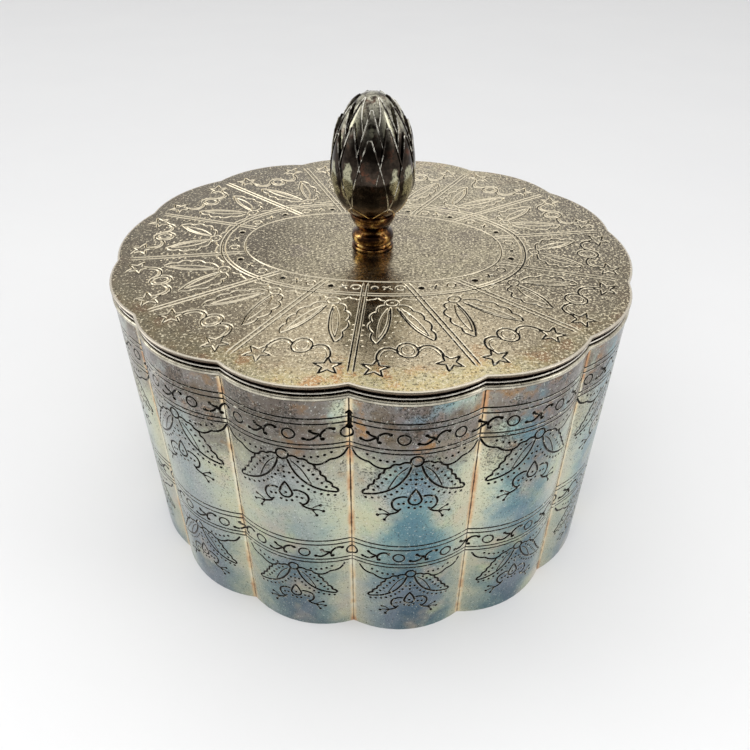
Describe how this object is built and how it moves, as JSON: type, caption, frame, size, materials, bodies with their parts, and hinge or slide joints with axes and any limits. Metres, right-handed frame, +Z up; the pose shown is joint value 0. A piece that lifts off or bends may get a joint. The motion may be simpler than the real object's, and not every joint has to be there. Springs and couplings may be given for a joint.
{
  "type": "pill box",
  "caption": "Fluted oval trinket box in engraved silver plate with a hinged flat lid and a bud finial.",
  "frame": {"origin": "middle of the underside, on the surface the box stands on", "axes": "+Z up, -Y towards the mock keyhole at the front, +Y towards the hinge, +X along the oval's long way"},
  "size_m": [0.1004, 0.0958, 0.0906],
  "materials": {
    "body_silver": "silver plate with blue, green and rose tarnish, engraved and blackened",
    "lid_silver": "silver plate with tan tarnish, finely speckled, engraved and blackened",
    "finial_silver": "cast, polished, dark antique silver",
    "finial_gilt": "turned, polished, golden-brown tarnish",
    "brass_fittings": "plain machined brass",
    "velvet": "short-pile velvet over card"
  },
  "bodies": {
    "box": {"base_plate": "body_silver", "body_wall": "body_silver", "mouth_rim": "body_silver", "wall_lining": "velvet", "floor_pad": "velvet", "hinge_body_bearer": "body_silver", "hinge_knuckle_1": "body_silver", "hinge_knuckle_3": "body_silver", "hinge_knuckle_5": "body_silver", "hinge_pin": "brass_fittings"},
    "lid": {"lid_plate": "lid_silver", "lid_rim": "lid_silver", "lid_pad": "velvet", "hinge_lid_bearer": "lid_silver", "hinge_knuckle_2": "lid_silver", "hinge_knuckle_4": "lid_silver", "finial_pedestal": "finial_gilt", "finial_bud": "finial_silver", "finial_stud": "brass_fittings", "finial_washer": "brass_fittings", "finial_nut": "brass_fittings"}
  },
  "joints": [
    {"name": "lid_hinge", "type": "hinge", "parent": "box", "child": "lid", "pos_m": [0, 0.0483, 0.0586], "axis": [-1, 0, 0], "range_deg": [0, 100]}
  ]
}
